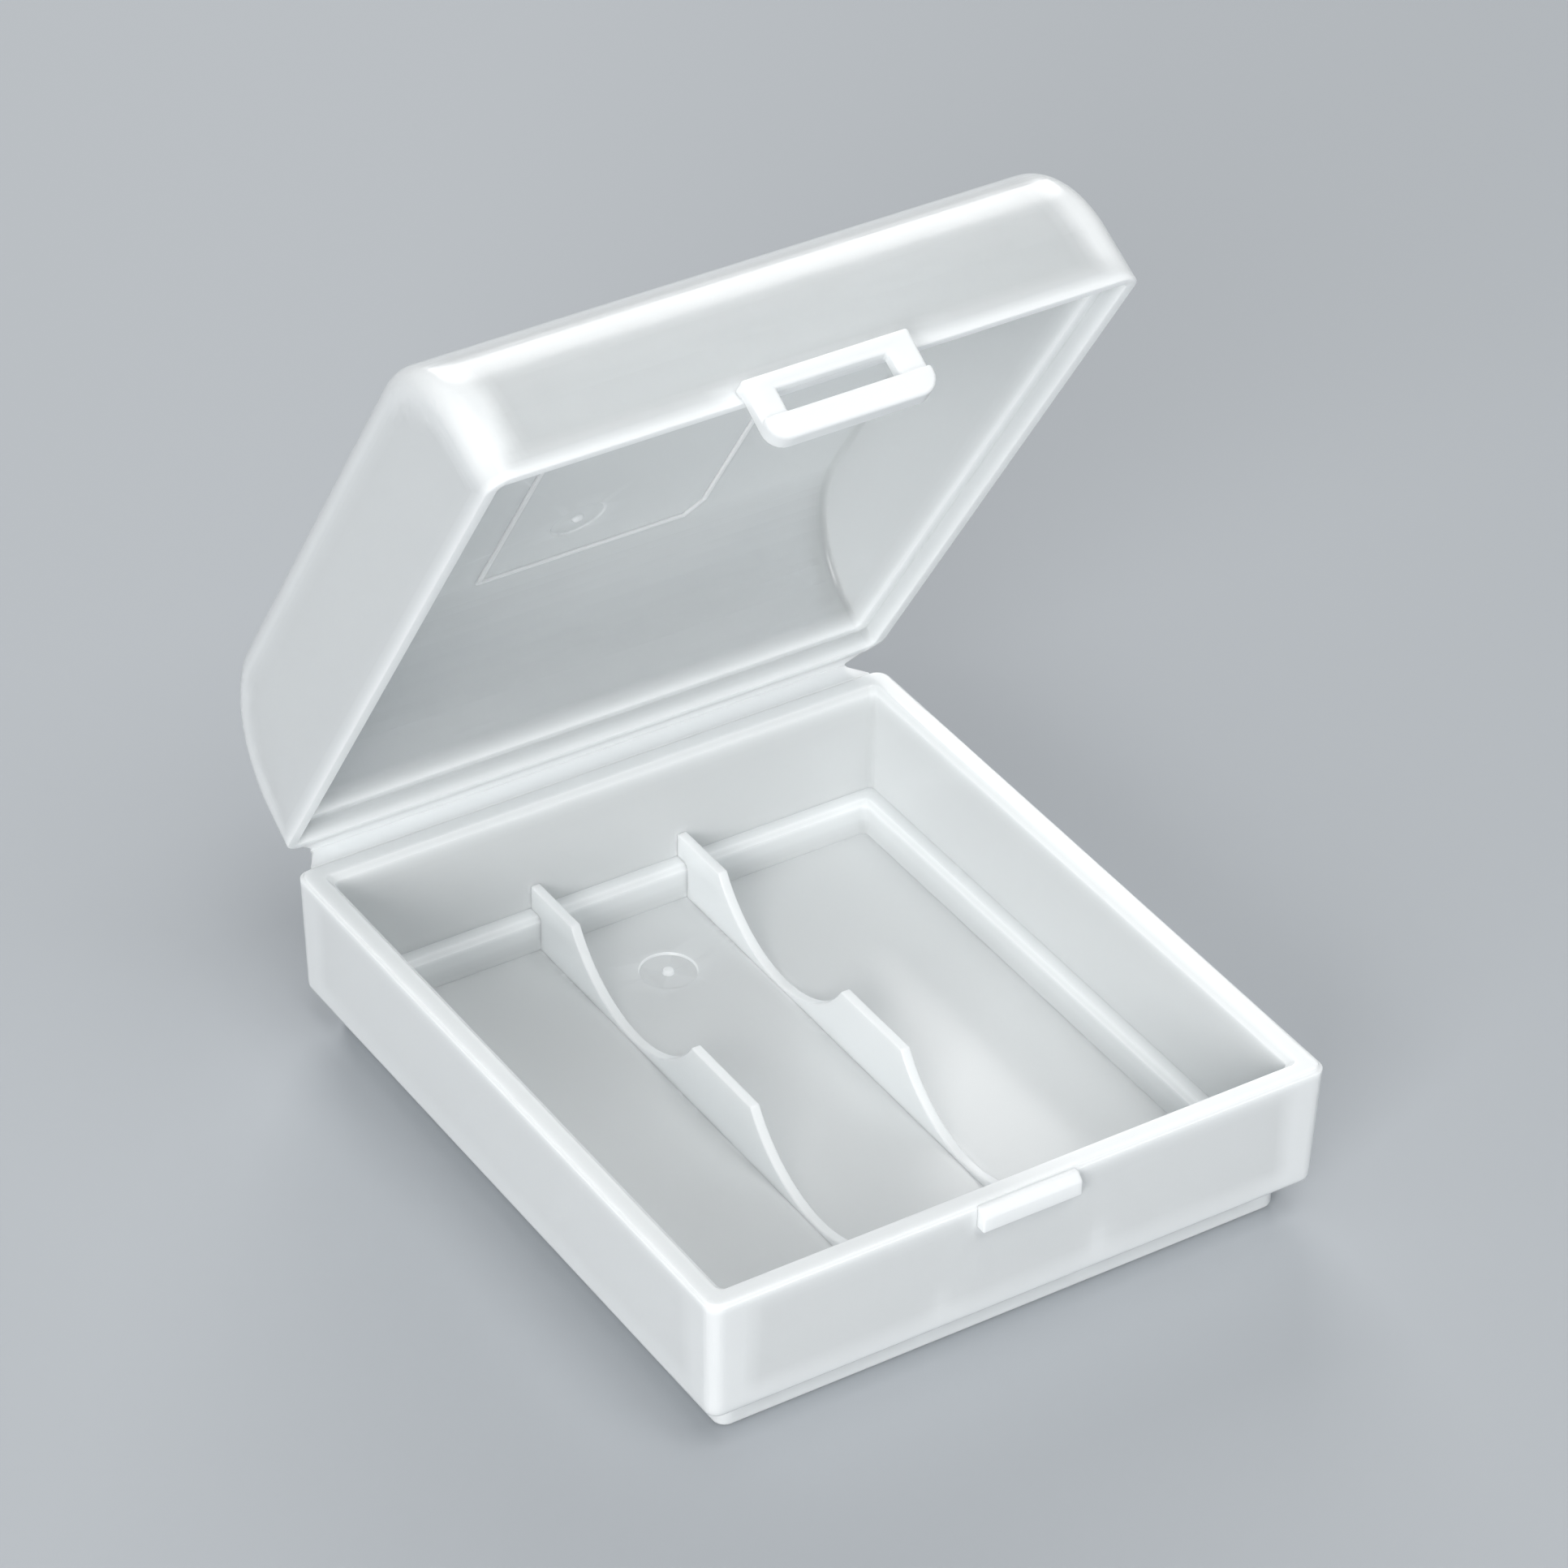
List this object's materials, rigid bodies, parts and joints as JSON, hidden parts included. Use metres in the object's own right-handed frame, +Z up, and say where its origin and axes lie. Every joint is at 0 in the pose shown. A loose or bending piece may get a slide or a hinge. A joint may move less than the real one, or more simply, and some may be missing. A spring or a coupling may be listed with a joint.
{
  "type": "battery case",
  "caption": "Translucent flip-lid storage case with a living hinge, cradle ribs for two cylindrical cells and a snap latch tab.",
  "frame": {"origin": "centre of the flat foot under the tray", "axes": "+Z up out of the tray's mouth, +X along the hinge, -Y towards the latch side and +Y towards the hinge"},
  "size_m": [0.0772, 0.0991, 0.0997],
  "materials": {
    "natural_polypropylene": "translucent milky white, satin"
  },
  "bodies": {
    "tray": {"tray_shell": "natural_polypropylene", "divider_rib_left": "natural_polypropylene", "divider_rib_right": "natural_polypropylene", "front_catch": "natural_polypropylene", "tray_hinge_leaf": "natural_polypropylene", "hinge_web": "natural_polypropylene"},
    "lid": {"lid_hinge_leaf": "natural_polypropylene", "lid_shell": "natural_polypropylene", "lid_rim_skirt": "natural_polypropylene", "label_frame": "natural_polypropylene", "side_label_frame": "natural_polypropylene", "latch_root": "natural_polypropylene"},
    "latch": {"latch_tab": "natural_polypropylene"}
  },
  "joints": [
    {"name": "lid_hinge", "type": "hinge", "parent": "tray", "child": "lid", "pos_m": [0, 0.04541, 0.01955], "axis": [-1, 0, 0], "range_deg": [-57.8, 122.2], "deforming": ["hinge_web"]},
    {"name": "latch_flex", "type": "hinge", "parent": "lid", "child": "latch", "pos_m": [0, -0.00289, 0.0954], "axis": [-1, 0, 0], "range_deg": [0, 12], "stiffness_Nm_per_rad": 0.1}
  ]
}
